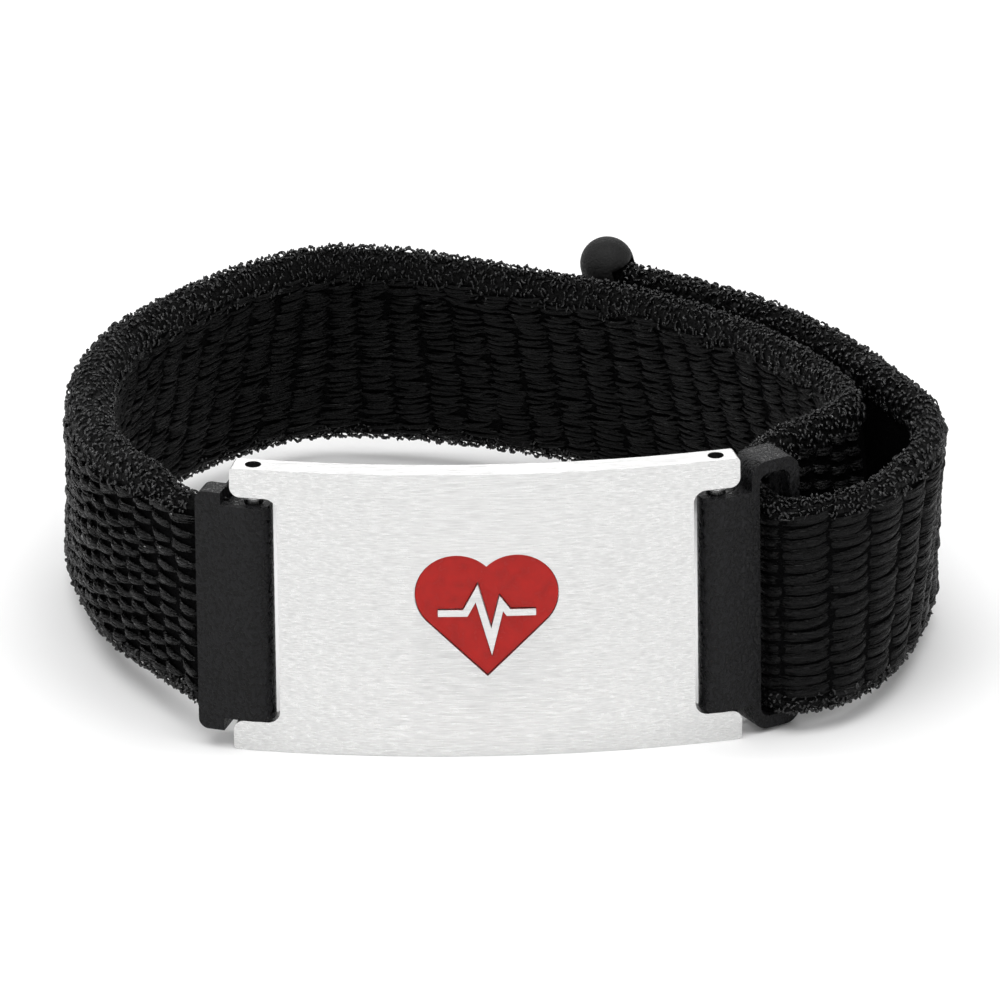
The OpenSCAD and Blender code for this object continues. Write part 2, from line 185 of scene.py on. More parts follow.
def round_edges(piece, width, segments=3, angle=35):
    """Rounds the edges that turn by more than the angle, in degrees, and shades the rest smooth."""
    bevel = piece.modifiers.new("Rounded edges", "BEVEL")
    bevel.width = width
    bevel.segments = segments
    bevel.limit_method = "ANGLE"
    bevel.angle_limit = math.radians(angle)
    bevel.miter_outer = "MITER_ARC"
    smooth(piece, angle)


def smooth(piece, angle=35):
    piece.data.shade_smooth()
    piece.data.set_sharp_from_angle(angle=math.radians(angle))


def settle(piece, material, slot, *nodes):
    """Gives a finished piece its material and body, and hides the nodes it stands for. Its slot is not
    used.
    """
    piece.data.materials.clear()
    piece.data.materials.append(material)
    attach(piece, "root")
    if nodes:
        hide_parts(*nodes)


# The strap's path, read off its solid

# The scene's strap sags this much where the buckle draws it in, but not in the stretch next to the wing
SETTLING = 0.3 * MM
WING_STRETCH = 30 * MM
# How far from the buckle's turn and from the wing the strap is drawn in, and over what length that eases
TURN_REACH, TURN_EASE = 16 * MM, 11 * MM
WING_REACH, WING_EASE = 5 * MM, 4 * MM
# The strap comes out of the wing this far past the wing's box
CLEAR_OF_WING = 0.2 * MM
# The strap's first face lies within this of the left pin and looks at it
PIN_REACH = 4 * MM
LOOKS_AT = 0.9
# Another layer lies within this of a covered point, and at least this far along the strap
LAYER_REACH, LAYER_APART = 2.6 * MM, 12 * MM
# Where the strap is drawn in, curls lose this share of their stand, and lie inside the solid's edge
CURLS_PRESSED = 1.2


class StrapPath:
    """The strap's middle line with its upward and outward directions and half sizes, by length along it."""

    def __init__(self):
        rings = self.walk()
        self.centre = np.array([np.mean(ring, axis=0) for ring in rings])
        up = []
        for ring in rings:
            by_height = ring[np.argsort(ring[:, 2])]
            low, high = np.split(by_height, 2)
            up.append(high.mean(axis=0) - low.mean(axis=0))
        self.up = self.unit(np.array(up))
        along = np.gradient(self.centre, axis=0)
        along[:, 2] = 0
        self.out = self.unit(np.cross(self.up, along))
        self.half_thick = self.reach_of(rings, self.out)
        self.half_wide = self.reach_of(rings, self.up)
        self.s = np.concatenate([[0], np.cumsum(np.linalg.norm(np.diff(self.centre, axis=0), axis=1))])
        self.end = self.s[-1]
        # The strap turns about the buckle at its foremost point on the right
        front = np.where(self.centre[:, 0] > 0, self.centre[:, 1], 1)
        self.turn = self.s[np.argmin(front)]
        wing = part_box("left_connector")[0].x - CLEAR_OF_WING
        self.wing_edge = self.s[np.argmax(self.centre[:, 0] < wing)]
        past_wing = self.s > self.wing_edge + WING_STRETCH
        self.centre[:, 2] -= SETTLING * np.where(past_wing, self.drawn_in(self.s), 0)
        low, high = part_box("end_bar")
        x, y = self.centre[:, 0], self.centre[:, 1]
        in_bar = (x > low.x) & (x < high.x) & (y > low.y) & (self.s > self.turn)
        self.bar_edge = self.s[np.argmax(in_bar)] if in_bar.any() else self.end

    def reach_of(self, rings, ways):
        """How far each ring reaches from its middle along its own direction."""
        return np.array([np.abs((ring - c) @ way).max() for ring, c, way in zip(rings, self.centre, ways)])

    def drawn_in(self, s):
        """How much the buckle and the wing draw the strap in at length s, from 0 to 1."""
        at_turn = np.clip((TURN_REACH - np.abs(s - self.turn)) / TURN_EASE, 0, 1)
        at_wing = np.clip((self.wing_edge + WING_REACH - s) / WING_EASE, 0, 1)
        share = np.maximum(at_turn, at_wing)
        return share * share * (3 - 2 * share)

    @staticmethod
    def unit(vectors):
        return vectors / np.linalg.norm(vectors, axis=-1, keepdims=True)

    @staticmethod
    def walk():
        """The solid's rings, from the end in the wing's pocket to the one in the end bar."""
        bm = bmesh.new()
        bm.from_mesh(FRAME["nodes"]["strap"].data)
        bmesh.ops.remove_doubles(bm, verts=bm.verts, dist=SAME_POINT)
        low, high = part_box("left_pin")
        pin = (low + high) / 2
        ring = set()
        for face in bm.faces:
            away = pin - face.calc_center_median()
            away.z = 0
            if away.length < PIN_REACH and face.normal.dot(away.normalized()) > LOOKS_AT:
                ring.update(face.verts)
        seen, rings = set(ring), []
        while ring:
            rings.append(np.array([v.co[:] for v in ring]))
            ring = {edge.other_vert(v) for v in ring for edge in v.link_edges} - seen
            seen |= ring
        bm.free()
        return rings

    def read(self, table, s):
        """A table's value, or its three values, at length s."""
        if table.ndim == 1:
            return np.interp(s, self.s, table)
        return np.stack([np.interp(s, self.s, table[:, k]) for k in range(3)], axis=-1)

    def place(self, s, across, out):
        """Points at length s, with distances across the strap's width and out from its middle."""
        up, normal = self.unit(self.read(self.up, s)), self.unit(self.read(self.out, s))
        return self.read(self.centre, s) + up * across[..., None] + normal * out[..., None]

    def proud(self, stand, s):
        """How far an edge's curls stand proud at length s."""
        return stand * (1 - CURLS_PRESSED * self.drawn_in(s))

    def covered(self, s, out):
        """Whether another layer of the strap lies just outside the point at s and out."""
        there = self.place(s, np.zeros_like(s), out)
        near = np.full(s.shape, False)
        for s0, centre in zip(self.s, self.centre):
            apart = np.linalg.norm((there - centre)[..., :2], axis=-1)
            near |= (apart < LAYER_REACH) & (np.abs(s - s0) > LAYER_APART)
        return near


PATH = StrapPath()


# Strands

# Strands lie this far inside the solid's face, before their own lift
BEDDING = 0.3 * MM
# The share of their lift that strands lose where the strap is drawn in
PRESSED = 0.6
# The distance between the small bulges along an edge
SCALLOP = 1.15 * MM
# Spreads the curls evenly over an edge
GOLDEN = (math.sqrt(5) - 1) / 2
# Another layer is looked for this far outside a face, and leaves no room for strands there
COVER = 1.6 * MM
# Of the sum of an edge's two half sizes, the share that stands for its radius
ROUNDNESS = 0.6
# How far out along a thick strand's half width the outermost thin ones lie on it, as a share, and how
# deep they sink into it, as a share of their own size
THIN_SPREAD, THIN_SUNK = 0.8, 0.3


def strand_template(sides, rings):
    """One strand, a closed spindle with its poles at its ends."""
    bm = bmesh.new()
    bmesh.ops.create_uvsphere(bm, u_segments=sides, v_segments=rings, radius=1.0)
    mesh = bpy.data.meshes.new("strand")
    bm.to_mesh(mesh)
    bm.free()
    return mesh


def copies(template, count, name):
    """One mesh with count copies of the template, one after the other."""
    source = put_in(name + "_source", template)
    array = source.modifiers.new("Copies", "ARRAY")
    array.count = count
    array.use_relative_offset = False
    depsgraph = bpy.context.evaluated_depsgraph_get()
    mesh = bpy.data.meshes.new_from_object(source.evaluated_get(depsgraph), depsgraph=depsgraph)
    bpy.data.objects.remove(source)
    mesh.name = name
    return mesh


def spindle(template, count):
    """Each vertex's place along its strand, from -1 to 1, and the two parts of its turn about it."""
    co = np.zeros(len(template.vertices) * 3)
    template.vertices.foreach_get("co", co)
    co = co.reshape(-1, 3)
    p = 1 - 2 * np.arccos(np.clip(co[:, 2], -1, 1)) / math.pi
    turn = np.arctan2(co[:, 1], co[:, 0])
    pole = np.abs(p) > 0.999
    side, top = np.where(pole, 0, np.cos(turn)), np.where(pole, 0, np.sin(turn))
    return [np.broadcast_to(x, (count, len(x))) for x in (p, side, top)]


def columns_of(count, *values):
    """Each value, or one for all, as a column with a row for each of count strands."""
    return [np.broadcast_to(value, (count,))[:, None] for value in values]


def strand_piece(name, template, points):
    """The piece whose strands have their vertices at the points, a row of them for each strand."""
    mesh = copies(template, len(points), name)
    mesh.vertices.foreach_set("co", points.ravel())
    mesh.shade_smooth()
    mesh.update()
    return put_in(name, mesh)


def face_strands(
    name, face, s, across, half, size, thick, lift, sink, slant, hook, bow, sides, rings, head=0, taper=0
):
    """Strands that lie on one face of the strap, tucked in at their ends.

    The face is 1 on the outer side and -1 on the side towards the wrist. Each strand has its middle at
    length s and level across, half its length, its half width as size and its half height as thick. It
    rises by its lift in the middle and sinks at its ends. It slants, hooks upwards at one end and bows.
    A head moves the highest place towards one end, and a taper makes the other end thinner."""
    count = len(s)
    template = strand_template(sides, rings)
    p, side, top = spindle(template, count)
    s, across, half, size, thick = columns_of(count, s, across, half, size, thick)
    lift, sink, slant, hook, bow = columns_of(count, lift, sink, slant, hook, bow)
    full = np.sqrt(np.clip(1 - np.abs(p) ** 3, 0.0, 1))
    along = np.clip(s + p * half, 0, PATH.end)
    middle = across + slant * p + hook * np.clip(p, 0, 1) ** 2 + bow * (1 - p**2)
    level = middle - face * side * size * full * (1 + taper * p)
    arch = lift * (1 - p**2) * (1 + head * p) * (1 - PRESSED * PATH.drawn_in(along))
    height = arch - sink * p**4 + top * thick * full
    out = face * (PATH.read(PATH.half_thick, along) - BEDDING + height)
    return strand_piece(name, template, PATH.place(along, level, out))


def bundle(k, wide, high, strand, lift):
    """Half sizes and lifts of a float's strands: a thick one where k is 0, and thin ones over it."""
    thin = k != 0
    return {
        "size": np.where(thin, strand, wide),
        "thick": np.where(thin, strand, high),
        "lift": lift + np.where(thin, high * np.sqrt(1 - (THIN_SPREAD * k) ** 2) - THIN_SUNK * strand, 0),
    }


def edge_curls(
    name, end, s, around, radius, facing, sweep, lift, thick, reach, stand, scallop, sides, rings
):
    """Small arcs of strand all over one edge of the strap, each raised in its middle.

    The end is 1 for the upper edge and -1 for the lower. Each arc lies at length s and at the angle around
    from the edge's middle, with a radius, the way that its middle faces and half its sweep as angles."""
    count = len(s)
    template = strand_template(sides, rings)
    p, side, top = spindle(template, count)
    s, around, radius, facing = columns_of(count, s, around, radius, facing)
    sweep, lift, thick = columns_of(count, sweep, lift, thick)
    full = np.sqrt(np.clip(1 - np.abs(p) ** 4, 0.0, 1))
    turn = facing + sweep * p
    grown = radius + end * side * thick * full
    along = np.clip(s + grown * np.cos(turn) - radius * np.cos(facing), 0, PATH.end)
    wide, deep = PATH.read(PATH.half_wide, along), PATH.read(PATH.half_thick, along)
    angle = around + (grown * np.sin(turn) - radius * np.sin(facing)) / (ROUNDNESS * (reach + deep))
    raised = lift * (1 - p**2) + top * thick * full + scallop * np.cos(s / SCALLOP * 2 * math.pi)
    across = end * (wide - reach + (reach + PATH.proud(stand, along) + raised) * np.cos(angle))
    out = (deep - BEDDING + raised) * np.sin(angle)
    return strand_piece(name, template, PATH.place(along, across, out))


def rows_of(strap, face, column, row, ply, brick, seed, start, end):
    """The places of the floats' strands in a stretch of one face, with two sets of random numbers.

    Gives each strand's length along the strap, its level, its place in its float from -1 to 1, and four
    numbers that its float's strands share and four of its own."""
    rng = np.random.default_rng(seed)
    usable = float(PATH.half_wide.max()) * 2 - 2 * strap.selvedge
    count = max(1, round(usable / row))
    levels = (np.arange(count) - (count - 1) / 2) * usable / count
    columns = np.arange(start + column / 2, end, column)
    s, v, k = np.meshgrid(columns, levels, np.arange(ply), indexing="ij")
    order = np.arange(len(columns))[:, None, None] % 2
    v = v + brick * row * (order - 0.5)
    s, v, k = s.ravel(), v.ravel(), (k.ravel() - (ply - 1) / 2) / max(1, (ply - 1) / 2)
    keep = ~PATH.covered(s, face * (PATH.read(PATH.half_thick, s) + COVER))
    s, v, k = s[keep], v[keep], k[keep]
    # One number for each float
    float_of = np.round(s / column) * 1000 + np.round(v / row)
    drawn = {key: rng.normal(size=4) for key in np.unique(float_of)}
    shared = np.array([drawn[key] for key in float_of])
    return s, v, k, shared, rng.normal(size=(len(s), 4))


# Shader node groups


def group(name, inputs, outputs):
    """An empty shader group with its sockets, and its input and output nodes."""
    tree = bpy.data.node_groups.new(name, "ShaderNodeTree")
    for socket, kind, value in inputs:
        made = tree.interface.new_socket(socket, in_out="INPUT", socket_type=kind)
        made.default_value = value
    for socket, kind in outputs:
        tree.interface.new_socket(socket, in_out="OUTPUT", socket_type=kind)
    return tree, tree.nodes.new("NodeGroupInput"), tree.nodes.new("NodeGroupOutput")


def add(tree, kind, **values):
    """A node with its settings. A name with a leading capital sets an input socket."""
    node = tree.nodes.new("ShaderNode" + kind)
    for key, value in values.items():
        if key[0].isupper():
            node.inputs[key.replace("_", " ")].default_value = value
        else:
            setattr(node, key, value)
    return node


def speckle_group():
    """Fine grain that is stretched along one axis or none, as a mask and as a normal."""
    if "Speckle" in bpy.data.node_groups:
        return bpy.data.node_groups["Speckle"]
    tree, given, made = group(
        "Speckle",
        [
            ("Stretch", "NodeSocketVector", (1000, 1000, 1000)),
            ("Detail", "NodeSocketFloat", 3.0),
            ("Low", "NodeSocketFloat", 0.35),
            ("High", "NodeSocketFloat", 0.65),
            ("Depth", "NodeSocketFloat", 0.00001),
        ],
        [("Mask", "NodeSocketFloat"), ("Normal", "NodeSocketVector")],
    )
    where = add(tree, "TexCoord")
    stretch = add(tree, "Mapping")
    noise = add(tree, "TexNoise", Scale=1.0, Roughness=0.6)
    spread = add(tree, "MapRange")
    bump = add(tree, "Bump", Strength=1.0)
    link = tree.links.new
    link(where.outputs["Object"], stretch.inputs["Vector"])
    link(given.outputs["Stretch"], stretch.inputs["Scale"])
    link(stretch.outputs["Vector"], noise.inputs["Vector"])
    link(given.outputs["Detail"], noise.inputs["Detail"])
    link(noise.outputs["Fac"], spread.inputs["Value"])
    link(given.outputs["Low"], spread.inputs["From Min"])
    link(given.outputs["High"], spread.inputs["From Max"])
    link(given.outputs["Depth"], bump.inputs["Distance"])
    link(spread.outputs["Result"], bump.inputs["Height"])
    link(spread.outputs["Result"], made.inputs["Mask"])
    link(bump.outputs["Normal"], made.inputs["Normal"])
    return tree


def finish_with(name, colour, other, roughness, speckle, **sockets):
    """A material whose colour, roughness and normal vary with a speckle.

    Constant numbers go on the shader itself."""
    if name in bpy.data.materials:
        return bpy.data.materials[name]
    material = bpy.data.materials.new(name)
    material.use_nodes = True
    tree = material.node_tree
    shader = tree.nodes["Principled BSDF"]
    for socket, value in sockets.items():
        shader.inputs[socket.replace("_", " ")].default_value = value
    grain = tree.nodes.new("ShaderNodeGroup")
    grain.node_tree = speckle_group()
    for socket, value in speckle.items():
        grain.inputs[socket].default_value = value
    mix = add(tree, "Mix", data_type="RGBA")
    mix.inputs["A"].default_value = (*colour, 1)
    mix.inputs["B"].default_value = (*other, 1)
    spread = add(tree, "MapRange")
    spread.inputs["To Min"].default_value, spread.inputs["To Max"].default_value = roughness
    link = tree.links.new
    link(grain.outputs["Mask"], mix.inputs["Factor"])
    link(grain.outputs["Mask"], spread.inputs["Value"])
    link(mix.outputs["Result"], shader.inputs["Base Color"])
    link(spread.outputs["Result"], shader.inputs["Roughness"])
    link(grain.outputs["Normal"], shader.inputs["Normal"])
    return material


def shade(colour, share):
    """The colour at a share of its strength."""
    return tuple(channel * share for channel in colour)


def brushed_steel():
    colour = tuple(bpy.context.scene.bracelet_metal.plate_colour)
    return finish_with(
        "brushed_steel", colour, shade(colour, 0.8), (0.22, 0.44),
        {"Stretch": (450, 9000, 9000), "Detail": 5.0, "Low": 0.32, "High": 0.68, "Depth": 0.000006},
        Metallic=1.0,
    )


# Near-black steel for the plate's pin holes: painted shade in the bores
def bore_steel():
    return finish_with(
        "bore_steel", (0.05, 0.05, 0.05), (0.03, 0.03, 0.03), (0.5, 0.7),
        {"Stretch": (4000, 4000, 4000), "Detail": 2.0, "Low": 0.3, "High": 0.7, "Depth": 0.000004},
        Metallic=1.0,
    )


# Steel darker than the plate's: painted shade for the pins that sit deep in their holes
def pin_steel():
    return finish_with(
        "pin_steel", (0.3, 0.3, 0.3), (0.22, 0.22, 0.22), (0.2, 0.32),
        {"Stretch": (4000, 4000, 600), "Detail": 3.0, "Low": 0.3, "High": 0.7, "Depth": 0.000003},
        Metallic=1.0,
    )


def red_enamel():
    colour = tuple(bpy.context.scene.bracelet_metal.enamel_colour)
    return finish_with(
        "red_enamel", colour, shade(colour, 0.8), (0.22, 0.3),
        {"Stretch": (900, 900, 900), "Detail": 2.0, "Low": 0.3, "High": 0.7, "Depth": 0.00001},
        Specular_IOR_Level=0.25,
    )


def black_coating():
    colour = tuple(bpy.context.scene.bracelet_metal.connector_colour)
    return finish_with(
        "black_coating", shade(colour, 0.2), shade(colour, 1.2), (0.24, 0.46),
        {"Stretch": (3200, 3200, 2400), "Detail": 4.0, "Low": 0.42, "High": 0.6, "Depth": 0.00005},
        Specular_IOR_Level=0.18,
    )


def moulded_black():
    colour = tuple(bpy.context.scene.bracelet_metal.bar_colour)
    return finish_with(
        "moulded_black", colour, shade(colour, 1.7), (0.5, 0.68),
        {"Stretch": (4200, 4200, 4200), "Detail": 3.0, "Low": 0.4, "High": 0.62, "Depth": 0.00003},
        Specular_IOR_Level=0.2,
    )


def cloth(name, low, high, roughness, speckle, specular):
    """One of the strap's cloths, which varies between two shares of the strap's colour; the same yarn made
    lighter or darker by area, as painted light and painted shade.
    """
    colour = tuple(bpy.context.scene.bracelet_strap.cloth_colour)
    low, high = shade(colour, low), shade(colour, high)
    return finish_with(name, low, high, roughness, speckle, Specular_IOR_Level=specular)


def strand_cloth():
    return cloth(
        "strand_cloth", 0.2, 1.2, (0.16, 0.34),
        {"Stretch": (1200, 1200, 5000), "Detail": 3.0, "Low": 0.42, "High": 0.6, "Depth": 0.00018},
        specular=0.28,
    )


# The same yarn made darker: painted shade on the side towards the wrist and on the turned-back end
def shaded_wrist_cloth():
    return cloth(
        "shaded_wrist_cloth", 0.15, 1.0, (0.3, 0.5),
        {"Stretch": (1100, 1100, 4500), "Detail": 3.0, "Low": 0.42, "High": 0.6, "Depth": 0.00014},
        specular=0.13,
    )


# The same yarn made up to twice as bright: painted light on the edges' curls
def lit_edge_cloth():
    return cloth(
        "lit_edge_cloth", 0.3, 2.2, (0.14, 0.34),
        {"Stretch": (1500, 1500, 1500), "Detail": 4.0, "Low": 0.4, "High": 0.6, "Depth": 0.00006},
        specular=0.5,
    )


# The same yarn, dimmer and duller: painted shade in the gaps between the floats
def shaded_ground_cloth():
    return cloth(
        "shaded_ground_cloth", 0.3, 0.9, (0.7, 0.9),
        {"Stretch": (2500, 2500, 4500), "Detail": 3.0, "Low": 0.4, "High": 0.6, "Depth": 0.00015},
        specular=0.025,
    )


# The same yarn made darker under the curls: painted shade between them
def shaded_edge_ground():
    return cloth(
        "shaded_edge_ground", 0.1, 1.0, (0.5, 0.7),
        {"Stretch": (2600, 2600, 2600), "Detail": 4.0, "Low": 0.45, "High": 0.62, "Depth": 0.00025},
        specular=0.12,
    )


def pale_floor():
    return finish_with(
        "pale_floor", (0.9, 0.9, 0.9), (0.88, 0.88, 0.88), (0.85, 0.9),
        {"Stretch": (8, 8, 8), "Detail": 2.0, "Low": 0.3, "High": 0.7, "Depth": 0.0},
        Specular_IOR_Level=0.0,
    )


# One operator for each piece or group of like pieces

# An upright face of the plate that lies this near a pin's axis is in the hole for it
BORE_REACH = 0.9 * MM
# Rounding of the small pieces' edges
PIN_EDGE = 0.06 * MM
BAR_EDGE = 0.12 * MM


class BRACELET_OT_plate(bpy.types.Operator):
    """Build the curved steel plate with rounded edges and a brushed finish"""

    bl_idname = "bracelet.plate"
    bl_label = "Steel plate"

    def execute(self, context):
        plate = cad_copy("plate", "steel_plate")
        round_edges(plate, context.scene.bracelet_metal.plate_edge)
        settle(plate, brushed_steel(), "steel", "plate")
        # The holes for the pins get a near-black steel: painted shade in the bores
        plate.data.materials.append(bore_steel())
        for side in ("left", "right"):
            low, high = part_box(side + "_pin")
            pin = (low + high) / 2
            for face in plate.data.polygons:
                if (face.center - pin).xy.length < BORE_REACH and abs(face.normal.z) < 0.5:
                    face.material_index = 1
        return {"FINISHED"}


class BRACELET_OT_emblem(bpy.types.Operator):
    """Build the emblem's red enamel"""

    bl_idname = "bracelet.emblem"
    bl_label = "Emblem"

    def execute(self, context):
        enamel = cad_copy("enamel", "emblem_enamel")
        round_edges(enamel, context.scene.bracelet_metal.enamel_edge, segments=2)
        settle(enamel, red_enamel(), "enamel", "enamel")
        return {"FINISHED"}


class BRACELET_OT_pins(bpy.types.Operator):
    """Build the two spring pins"""

    bl_idname = "bracelet.pins"
    bl_label = "Spring pins"

    def execute(self, context):
        for side in ("left", "right"):
            pin = cad_copy(side + "_pin", side + "_spring_pin")
            round_edges(pin, PIN_EDGE, segments=2)
            # The pins' darker steel is painted shade from the holes they sit in
            settle(pin, pin_steel(), "steel", side + "_pin")
        return {"FINISHED"}


class BRACELET_OT_connectors(bpy.types.Operator):
    """Build the two black connectors: the strap's wing and the buckle's loop"""

    bl_idname = "bracelet.connectors"
    bl_label = "Connectors"

    def execute(self, context):
        for node, name in (("left_connector", "strap_wing"), ("buckle_loop", "buckle_frame")):
            connector = cad_copy(node, name)
            round_edges(connector, context.scene.bracelet_metal.connector_edge)
            settle(connector, black_coating(), "black_metal", node)
        return {"FINISHED"}


# Steps along the ground cloth, and round its section: over a face, over an edge and round a corner
GROUND_STEPS = 300
SECTION_STEPS = (16, 2, 4)
# How far the ground cloth lies under the middle of the curls, and how much narrower than the solid it is
CURL_BED = 0.18 * MM
NARROWER = 0.15 * MM
# The share of the pile's depth on the side towards the wrist
WRIST_PILE = 0.7
# The corners' radii, as shares of half the thickness and of the plain edge's width
DEEP_CORNER, WIDE_CORNER = 0.85, 0.9
# The cloth of the edges reaches this far past the plain edge, under the first rows
PAST_SELVEDGE = 0.55 * MM


def section_samples(face_steps, edge_steps, corner_steps):
    """The samples round the section: how each depends on its half sizes and on the corner's radii."""
    samples = []
    for quarter in range(4):
        # A face or an edge, then the corner after it
        steps = face_steps if quarter % 2 == 0 else edge_steps
        sign = 1 if quarter < 2 else -1
        for i in range(steps):
            f = 1 - 2 * i / steps
            samples.append((sign * -f, sign, 0, sign) if quarter % 2 == 0 else (sign, sign * f, sign, 0))
        for i in range(corner_steps):
            turn = (i / corner_steps) * math.pi / 2 + quarter * math.pi / 2
            kv, kh = [(1, 1), (1, -1), (-1, -1), (-1, 1)][quarter]
            samples.append((kv, kh, math.sin(turn), math.cos(turn)))
    return np.array(samples)


class BRACELET_OT_ground(bpy.types.Operator):
    """Build the strap's ground cloth, which the rows of strands lie on"""

    bl_idname = "bracelet.ground"
    bl_label = "Ground cloth"

    def execute(self, context):
        strap = context.scene.bracelet_strap
        round_the = section_samples(*SECTION_STEPS)
        bm = bmesh.new()
        bmesh.ops.create_grid(bm, x_segments=GROUND_STEPS, y_segments=len(round_the), size=0.5)
        bm.verts.ensure_lookup_table()
        co = np.array([v.co[:2] for v in bm.verts]) + 0.5
        s = co[:, 0] * PATH.end
        pick = np.round(co[:, 1] * len(round_the)).astype(int) % len(round_the)
        kv, kh, cv, ch = round_the[pick].T
        thick = PATH.read(PATH.half_thick, s) - strap.pile * np.where(kh > 0, 1, WRIST_PILE)
        stand = np.where(kv > 0, strap.upper_stand, strap.lower_stand) - CURL_BED
        wide = PATH.read(PATH.half_wide, s) - NARROWER + PATH.proud(stand, s)
        deep_corner, wide_corner = DEEP_CORNER * thick, WIDE_CORNER * strap.selvedge
        across = kv * (wide - wide_corner) + cv * wide_corner
        points = PATH.place(s, across, kh * (thick - deep_corner) + ch * deep_corner)
        for vert, point in zip(bm.verts, points):
            vert.co = point
        plain = np.abs(across) > PATH.read(PATH.half_wide, s) - strap.selvedge - PAST_SELVEDGE
        for face in bm.faces:
            face.material_index = int(all(plain[vert.index] for vert in face.verts))
        bmesh.ops.remove_doubles(bm, verts=bm.verts, dist=SAME_POINT)
        bmesh.ops.holes_fill(bm, edges=[e for e in bm.edges if e.is_boundary], sides=0)
        bmesh.ops.recalc_face_normals(bm, faces=bm.faces)
        mesh = bpy.data.meshes.new("strap_ground")
        bm.to_mesh(mesh)
        bm.free()
        ground = put_in("strap_ground", mesh)
        smooth(ground, 50)
        # The faces' material numbers are kept, because settle clears them with the materials
        finish = np.zeros(len(mesh.polygons), dtype=np.int32)
        mesh.polygons.foreach_get("material_index", finish)
        # Both cloths of the ground are dim copies of the yarn: painted shade between the strands and
        # between the curls
        settle(ground, shaded_ground_cloth(), "cloth", "strap")
        mesh.materials.append(shaded_edge_ground())
        mesh.polygons.foreach_set("material_index", finish)
        return {"FINISHED"}


# The rows start and end at these distances from the wing's edge, the buckle's turn and the end bar's edge
KNUCKLES_UNDER_WING, KNUCKLES_TO_TURN = 1.4 * MM, 5 * MM
FLOATS_PAST_WING, FLOATS_TO_TURN = 0.5 * MM, 4.4 * MM
LAP_IN_BAR = 0.5 * MM
# The share of a row by which each second column is set off
KNUCKLE_BRICK, FLOAT_BRICK = 0.35, 0.5


class BRACELET_OT_side_weave(bpy.types.Operator):
    """Lay the knuckles of strands on the strap's outer side"""

    bl_idname = "bracelet.side_weave"
    bl_label = "Outer side"

    def execute(self, context):
        strap = context.scene.bracelet_strap
        s, v, k, knuckle, own = rows_of(
            strap, 1, strap.side_column, strap.side_row, ply=5, brick=KNUCKLE_BRICK, seed=11,
            start=PATH.wing_edge - KNUCKLES_UNDER_WING,
            end=PATH.turn - KNUCKLES_TO_TURN,
        )
        rise = (0.2 + 0.05 * knuckle[:, 3] + 0.03 * own[:, 1]) * MM
        piece = face_strands(
            "strap_knuckles", 1,
            s=s + 0.14 * MM * knuckle[:, 0] + 0.12 * MM * own[:, 0],
            across=v + (0.26 * k + 0.07 * knuckle[:, 1] + 0.05 * k * own[:, 3]) * MM,
            half=(1.24 - 0.12 * k**2 + 0.05 * own[:, 2]) * MM,
            sink=0.5 * MM,
            slant=(0.22 + 0.08 * knuckle[:, 2] + 0.08 * k + 0.06 * k * own[:, 1]) * MM,
            hook=(0.12 + 0.05 * k * own[:, 2]) * MM,
            bow=0.05 * MM * k,
            head=0.8,
            taper=0.3,
            sides=7,
            rings=7,
            **bundle(k, wide=0.33 * MM, high=0.24 * MM, strand=0.09 * MM, lift=rise),
        )
        settle(piece, strand_cloth(), "cloth")
        return {"FINISHED"}


class BRACELET_OT_wrist_weave(bpy.types.Operator):
    """Lay the floats of strands on the side towards the wrist"""

    bl_idname = "bracelet.wrist_weave"
    bl_label = "Wrist side"

    def execute(self, context):
        strap = context.scene.bracelet_strap
        s, v, k, knuckle, own = rows_of(
            strap, -1, strap.wrist_column, strap.wrist_row, ply=3, brick=FLOAT_BRICK, seed=12,
            start=PATH.wing_edge + FLOATS_PAST_WING,
            end=PATH.turn - FLOATS_TO_TURN,
        )
        piece = face_strands(
            "strap_floats", -1,
            s=s + 0.14 * MM * knuckle[:, 0] + 0.2 * MM * own[:, 3],
            across=v + (0.3 * k + 0.07 * knuckle[:, 1] + 0.07 * own[:, 1]) * MM,
            half=(1.72 + 0.16 * own[:, 0]) * MM,
            size=0.2 * MM,
            thick=0.15 * MM,
            lift=(0.22 + 0.03 * knuckle[:, 3] + 0.06 * own[:, 2]) * MM,
            sink=0.14 * MM,
            slant=(0.14 + 0.09 * knuckle[:, 2] + 0.1 * own[:, 2]) * MM,
            hook=0.1 * MM * own[:, 2],
            bow=0.08 * MM * own[:, 3],
            sides=5,
            rings=7,
        )
        # Darker copy of the yarn: painted shade on the side towards the wrist
        settle(piece, shaded_wrist_cloth(), "cloth")
        return {"FINISHED"}


